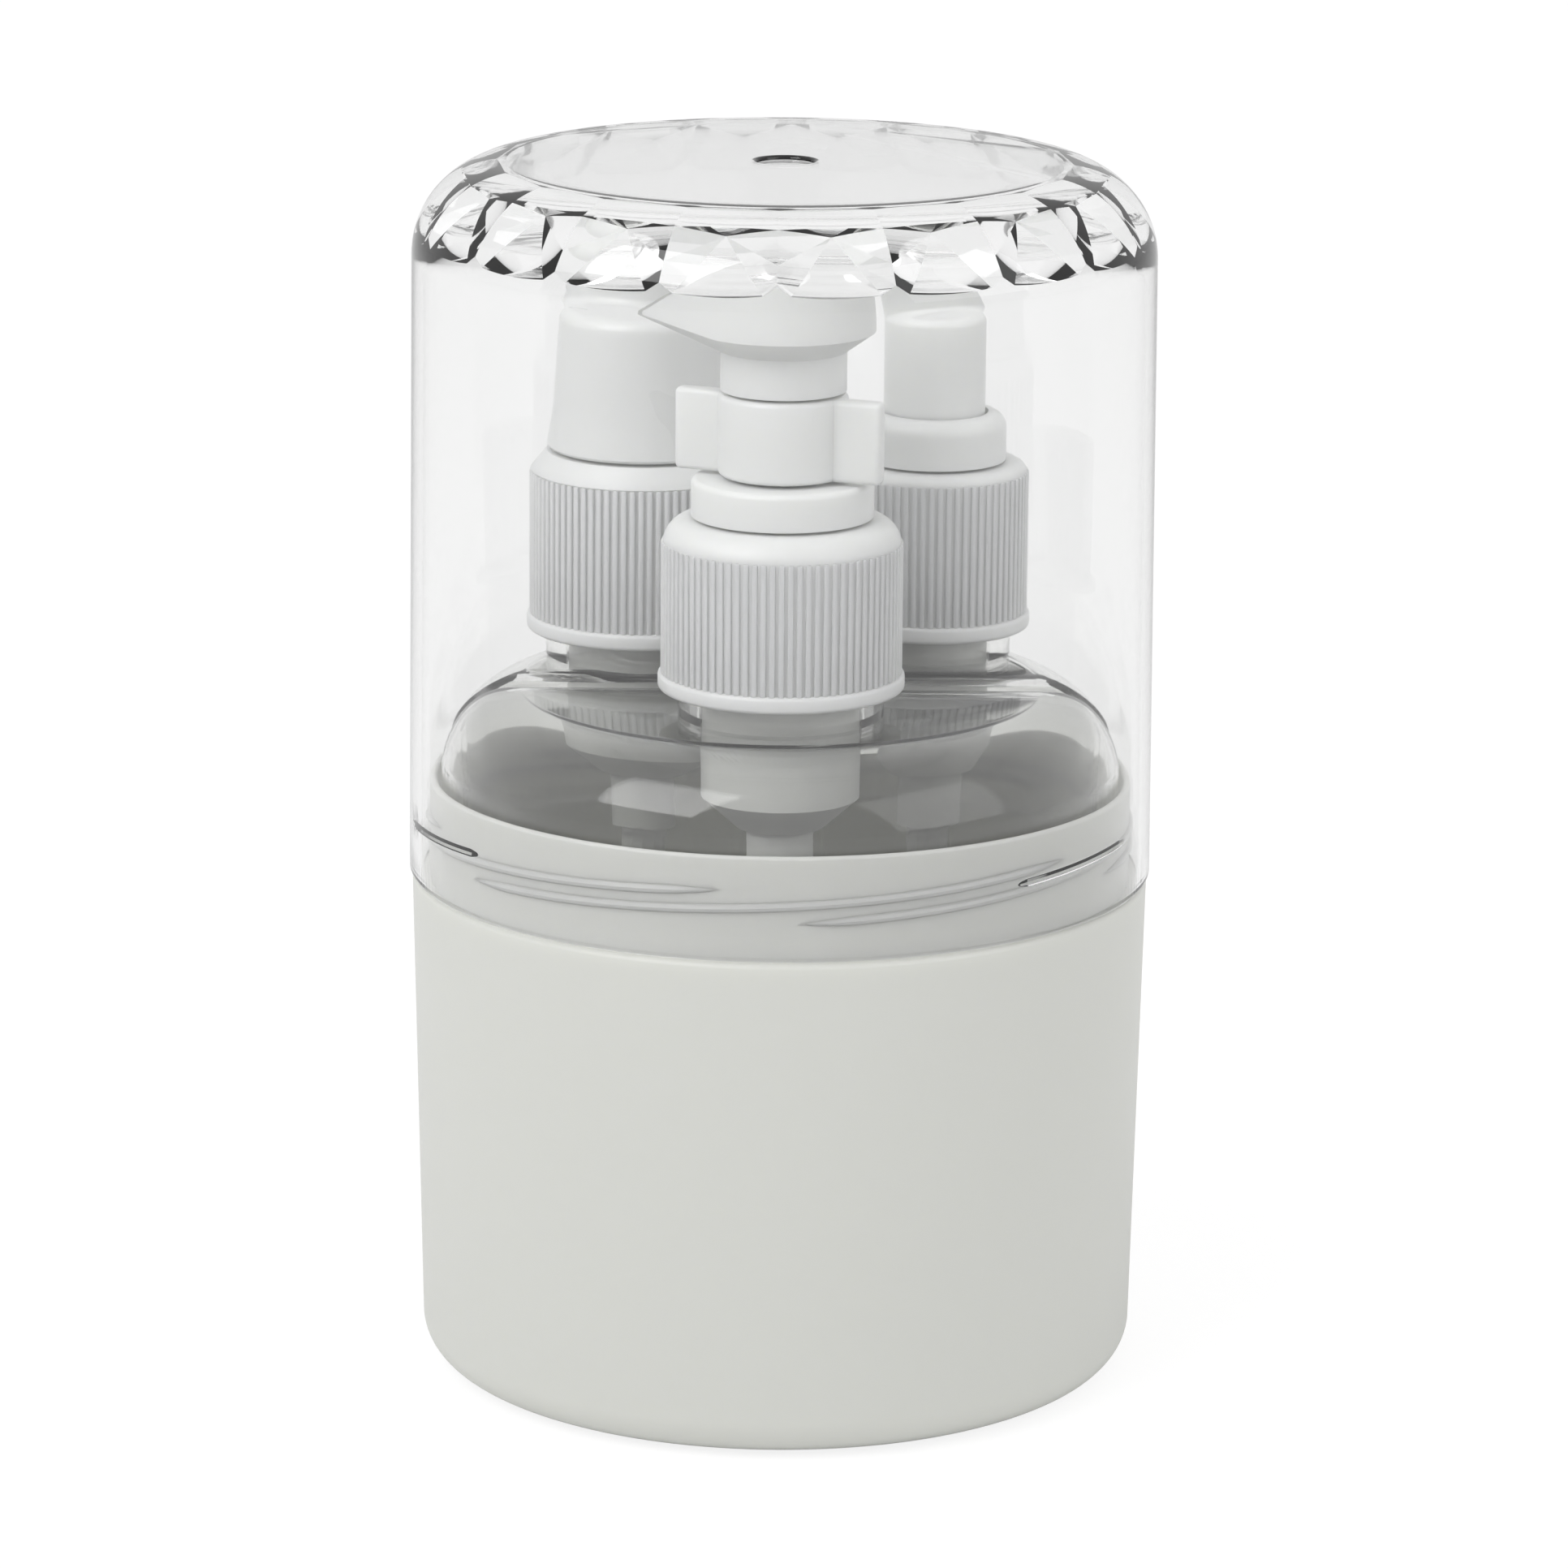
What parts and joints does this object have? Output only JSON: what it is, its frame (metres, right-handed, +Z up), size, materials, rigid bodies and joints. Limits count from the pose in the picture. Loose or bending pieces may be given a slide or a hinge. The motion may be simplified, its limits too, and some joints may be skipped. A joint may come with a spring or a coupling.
{
  "type": "travel bottle set",
  "caption": "Round travel case with a pale cup and a clear screw lid that holds clear bottles with a lotion pump and spray pumps.",
  "frame": {"origin": "centre of the cup's flat foot, where the set stands", "axes": "+Z up along the case's axis, -Y towards the lotion pump and the camera, +X to the camera's right"},
  "size_m": [0.0752, 0.0752, 0.1234],
  "materials": {
    "cup_plastic": "pale warm grey satin polypropylene",
    "clear_lid": "clear polystyrene, polished, with facets inside the crown",
    "clear_bottle": "clear bottle plastic",
    "white_plastic": "white polypropylene, satin",
    "seal": "soft pale polyethylene",
    "steel": "stainless steel",
    "tube": "natural polyethylene tube"
  },
  "bodies": {
    "case": {"cup": "cup_plastic", "lotion_ball": "steel", "lotion_barrel": "white_plastic", "lotion_bottle": "clear_bottle", "lotion_chaplet": "white_plastic", "lotion_collar": "white_plastic", "lotion_dip_tube": "tube", "lotion_gasket": "seal", "lotion_spring": "steel", "mist_ball": "steel", "mist_barrel": "white_plastic", "mist_bottle": "clear_bottle", "mist_collar": "white_plastic", "mist_dip_tube": "tube", "mist_gasket": "seal", "mist_spring": "steel", "mist_turret": "white_plastic", "serum_ball": "steel", "serum_barrel": "white_plastic", "serum_bottle": "clear_bottle", "serum_collar": "white_plastic", "serum_dip_tube": "tube", "serum_gasket": "seal", "serum_shroud": "white_plastic", "serum_spring": "steel", "serum_turret": "white_plastic"},
    "lid": {"lid": "clear_lid"},
    "lotion_pump_head": {"lotion_head": "white_plastic", "lotion_stem": "white_plastic", "lotion_piston": "seal"},
    "lock_clip": {"lotion_lock_clip": "white_plastic"},
    "overcap": {"mist_overcap": "white_plastic"},
    "mist_stem": {"mist_stem": "white_plastic", "mist_piston": "seal"},
    "mist_button": {"mist_button": "white_plastic", "mist_nozzle": "white_plastic"},
    "serum_stem": {"serum_stem": "white_plastic", "serum_piston": "seal"},
    "serum_button": {"serum_button": "white_plastic", "serum_nozzle": "white_plastic"}
  },
  "joints": [
    {"name": "lid_lift", "type": "slide", "parent": "case", "child": "lid", "axis": [0, 0, 1], "range_m": [0, 0.075]},
    {"name": "lotion_head_turn", "type": "hinge", "parent": "case", "child": "lotion_pump_head", "pos_m": [0, -0.013, 0.108], "axis": [0, 0, 1], "continuous": true},
    {"name": "clip_pull", "type": "slide", "parent": "case", "child": "lock_clip", "axis": [-0.3746, -0.9272, 0], "range_m": [0, 0.012]},
    {"name": "overcap_lift", "type": "slide", "parent": "case", "child": "overcap", "axis": [0, 0, 1], "range_m": [0, 0.01]},
    {"name": "mist_press", "type": "slide", "parent": "case", "child": "mist_stem", "axis": [0, 0, -1], "range_m": [0, 0.0035], "stiffness_N_per_m": 800, "springref_m": -0.004, "deforming": ["mist_spring"]},
    {"name": "mist_button_turn", "type": "hinge", "parent": "mist_stem", "child": "mist_button", "pos_m": [-0.01425, 0.0132, 0.096], "axis": [0, 0, 1], "continuous": true},
    {"name": "serum_press", "type": "slide", "parent": "case", "child": "serum_stem", "axis": [0, 0, -1], "range_m": [0, 0.0035], "stiffness_N_per_m": 800, "springref_m": -0.004, "deforming": ["serum_spring"]},
    {"name": "serum_button_turn", "type": "hinge", "parent": "serum_stem", "child": "serum_button", "pos_m": [0.0156, 0.0152, 0.096], "axis": [0, 0, 1], "continuous": true}
  ]
}
